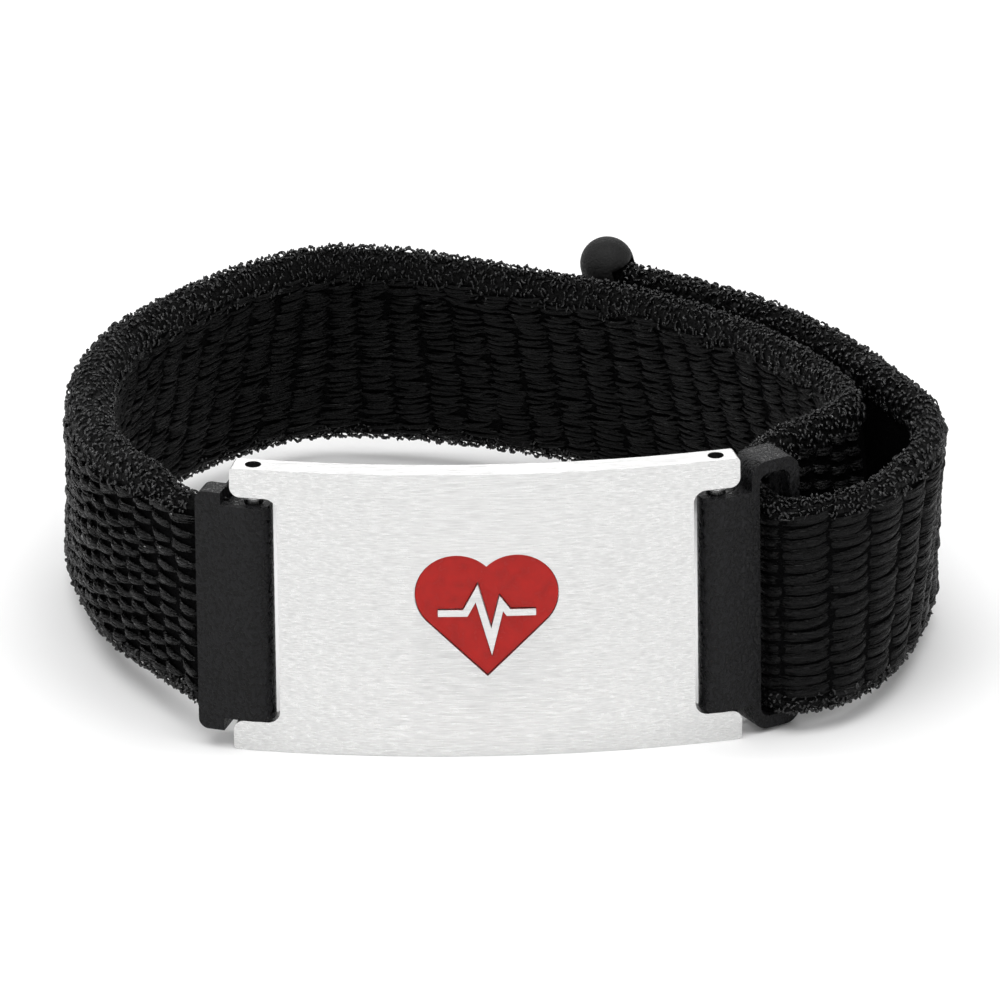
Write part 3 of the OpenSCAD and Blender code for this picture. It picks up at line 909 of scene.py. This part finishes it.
class BRACELET_OT_lap_weave(bpy.types.Operator):
    """Lay the long hooked floats on the strap's turned-back end"""

    bl_idname = "bracelet.lap_weave"
    bl_label = "Turned-back end"

    def execute(self, context):
        strap = context.scene.bracelet_strap
        s, v, k, knuckle, own = rows_of(
            strap, -1, strap.lap_column, strap.lap_row, ply=5, brick=FLOAT_BRICK, seed=13,
            start=PATH.turn - FLOATS_TO_TURN,
            end=PATH.bar_edge + LAP_IN_BAR,
        )
        rise = (0.18 + 0.03 * knuckle[:, 1] + 0.03 * own[:, 1]) * MM
        piece = face_strands(
            "strap_lap_floats", -1,
            s=s + 0.1 * MM * knuckle[:, 0] + 0.06 * MM * own[:, 0],
            across=v + (0.36 * k + 0.06 * knuckle[:, 1] + 0.06 * k * own[:, 3] - 0.1) * MM,
            half=(2.14 + 0.1 * own[:, 2]) * MM,
            sink=0.34 * MM,
            slant=(0.06 * knuckle[:, 2] + 0.06 * k * own[:, 0]) * MM,
            hook=(0.55 + 0.08 * knuckle[:, 3]) * MM,
            bow=0.04 * MM * k,
            head=-0.3,
            sides=6,
            rings=8,
            **bundle(k, wide=0.43 * MM, high=0.24 * MM, strand=0.1 * MM, lift=rise),
        )
        # Darker copy of the yarn: painted shade on the turned-back end
        settle(piece, shaded_wrist_cloth(), "cloth")
        return {"FINISHED"}


# How far under the wing and into the end bar the curls go
CURLS_UNDER_WING, CURLS_IN_BAR = 0.9 * MM, 2.5 * MM
# How far round an edge they go, as an angle from its middle
CURLS_AROUND = 1.95
# Where half the strap's thickness is less than this, the curls lie flatter
THIN_STRAP = 1.15 * MM


class BRACELET_OT_edges(bpy.types.Operator):
    """Cover the strap's two edges with small curls of strand"""

    bl_idname = "bracelet.edges"
    bl_label = "Edge curls"

    def execute(self, context):
        strap = context.scene.bracelet_strap
        start, stop = PATH.wing_edge - CURLS_UNDER_WING, PATH.bar_edge + CURLS_IN_BAR
        edges = ((1, "strap_upper_edge", strap.upper_stand), (-1, "strap_lower_edge", strap.lower_stand))
        for end, name, stand in edges:
            rng = np.random.default_rng(14 + end)
            count = int((stop - start) / MM * strap.curls)
            order = np.arange(count)
            s = start + (stop - start) * (order + rng.uniform(0, 1, count)) / count
            around = CURLS_AROUND * (2 * np.mod(order * GOLDEN + rng.uniform(0, 0.1, count), 1) - 1)
            thin = PATH.read(PATH.half_thick, s) < THIN_STRAP
            piece = edge_curls(
                name, end,
                s=s,
                around=around,
                radius=rng.uniform(0.26, 0.5, count) * MM,
                facing=rng.integers(0, 2, count) * math.pi + rng.normal(0, 0.7, count),
                sweep=rng.uniform(0.5, 1.15, count),
                lift=rng.uniform(0.0, 0.2, count) * np.where(thin, 0.4, 1) * MM,
                thick=rng.uniform(0.11, 0.19, count) * MM,
                reach=strap.selvedge,
                stand=stand,
                scallop=0.12 * MM,
                sides=3,
                rings=6,
            )
            # Brighter copy of the yarn: painted light on the edges
            settle(piece, lit_edge_cloth(), "cloth")
        return {"FINISHED"}


class BRACELET_OT_end_bar(bpy.types.Operator):
    """Build the moulded bar on the strap's free end"""

    bl_idname = "bracelet.end_bar"
    bl_label = "End bar"

    def execute(self, context):
        bar = cad_copy("end_bar", "strap_end_bar")
        round_edges(bar, BAR_EDGE, segments=2, angle=40)
        settle(bar, moulded_black(), "black_rubber", "end_bar")
        return {"FINISHED"}


# The studio's softboxes: name, place, the point it faces, its two sizes and its power
SOFTBOXES = (
    ("top_softbox", (0, -0.15, 1.0), (0, 0.03, 0), (1.1, 1.0), 11.5),
    ("front_softbox", (0.1, -1.1, 0.75), (0, 0, 0.01), (0.7, 0.5), 4.5),
    ("left_strip", (-0.9, 0.1, 0.4), (0, 0.02, 0.01), (0.15, 0.4), 3),
    ("right_strip", (0.9, -0.05, 0.4), (0, 0.02, 0.01), (0.12, 0.4), 1.8),
    ("back_softbox", (0, 1.2, 0.5), (0, 0.03, 0.02), (1.8, 0.5), 6.0),
)
# The strength of the light from all round
AMBIENT = 0.15
# The floor lies this far under the bracelet
FLOOR_GAP = 0.02 * MM
# Width of the camera's sensor, in millimetres
SENSOR = 36


def softbox(name, at, towards, size, power):
    """A rectangular area light that the camera doesn't see."""
    data = bpy.data.lights.new(name, "AREA")
    data.shape = "RECTANGLE"
    data.size, data.size_y = size
    data.energy = power
    light = bpy.data.objects.new(name, data)
    bpy.context.scene.collection.objects.link(light)
    light.visible_camera = False
    light.location = at
    light.rotation_euler = (Vector(towards) - Vector(at)).to_track_quat("-Z", "Y").to_euler()


class BRACELET_OT_stage(bpy.types.Operator):
    """Lay the floor, set the light and place the camera"""

    bl_idname = "bracelet.stage"
    bl_label = "Floor, light and camera"

    def execute(self, context):
        stage = context.scene.bracelet_stage
        bm = bmesh.new()
        bmesh.ops.create_grid(bm, x_segments=2, y_segments=2, size=stage.floor_size / 2)
        bmesh.ops.translate(bm, vec=(0, 0, CAD_BOX[0][2] - FLOOR_GAP), verts=bm.verts)
        mesh = bpy.data.meshes.new("floor")
        bm.to_mesh(mesh)
        bm.free()
        floor = put_in("floor", mesh)
        floor.data.materials.append(pale_floor())

        world = bpy.data.worlds.new("studio")
        world.use_nodes = True
        background = world.node_tree.nodes["Background"]
        background.inputs["Color"].default_value = (1, 1, 1, 1)
        background.inputs["Strength"].default_value = AMBIENT
        context.scene.world = world
        for values in SOFTBOXES:
            softbox(*values)
        context.scene.view_settings.view_transform = "Standard"
        self.place_camera(context, stage)
        return {"FINISHED"}

    def place_camera(self, context, stage):
        """Aims the camera so that the target lies at its known place in the picture."""
        e, a, roll = stage.elevation, stage.azimuth, stage.roll
        back = Vector((-math.sin(a) * math.cos(e), -math.cos(a) * math.cos(e), math.sin(e)))
        level = (-back).cross(Vector((0, 0, 1))).normalized()
        upright = level.cross(-back)
        right = math.cos(roll) * level - math.sin(roll) * upright
        up = math.sin(roll) * level + math.cos(roll) * upright
        aim = -back * stage.lens / SENSOR - right * stage.target_right - up * stage.target_up
        aim = aim.normalized()
        right = (right - aim * right.dot(aim)).normalized()
        up = right.cross(aim)
        data = bpy.data.cameras.new("photo_camera")
        data.lens = stage.lens
        data.sensor_width = SENSOR
        data.clip_start, data.clip_end = 0.05, 20
        camera = bpy.data.objects.new("photo_camera", data)
        context.scene.collection.objects.link(camera)
        turned = Matrix((right, up, -aim)).transposed().to_4x4()
        camera.matrix_world = Matrix.Translation(Vector(stage.target) + back * stage.distance) @ turned
        context.scene.camera = camera


class BRACELET_PT_sidebar(bpy.types.Panel):
    """The bracelet's pieces, one button each"""

    bl_idname = "BRACELET_PT_sidebar"
    bl_label = "Bracelet"
    bl_space_type = "VIEW_3D"
    bl_region_type = "UI"
    bl_category = "Bracelet"

    def draw(self, context):
        for operator in OPERATORS:
            self.layout.operator(operator.bl_idname)
        scene = context.scene
        for settings in (scene.bracelet_metal, scene.bracelet_strap, scene.bracelet_stage):
            box = self.layout.box()
            for key in settings.__annotations__:
                box.prop(settings, key)


SETTINGS = (BraceletMetalSettings, BraceletStrapSettings, BraceletStageSettings)
OPERATORS = (
    BRACELET_OT_plate,
    BRACELET_OT_emblem,
    BRACELET_OT_pins,
    BRACELET_OT_connectors,
    BRACELET_OT_ground,
    BRACELET_OT_side_weave,
    BRACELET_OT_wrist_weave,
    BRACELET_OT_lap_weave,
    BRACELET_OT_edges,
    BRACELET_OT_end_bar,
    BRACELET_OT_stage,
)


def register():
    for item in SETTINGS + OPERATORS + (BRACELET_PT_sidebar,):
        bpy.utils.register_class(item)
    bpy.types.Scene.bracelet_metal = PointerProperty(type=BraceletMetalSettings)
    bpy.types.Scene.bracelet_strap = PointerProperty(type=BraceletStrapSettings)
    bpy.types.Scene.bracelet_stage = PointerProperty(type=BraceletStageSettings)


def unregister():
    del bpy.types.Scene.bracelet_metal, bpy.types.Scene.bracelet_strap, bpy.types.Scene.bracelet_stage
    for item in reversed(SETTINGS + OPERATORS + (BRACELET_PT_sidebar,)):
        bpy.utils.unregister_class(item)


def main():
    register()
    for operator in OPERATORS:
        group_name, call = operator.bl_idname.split(".")
        getattr(getattr(bpy.ops, group_name), call)()


if __name__ == "__main__":
    main()
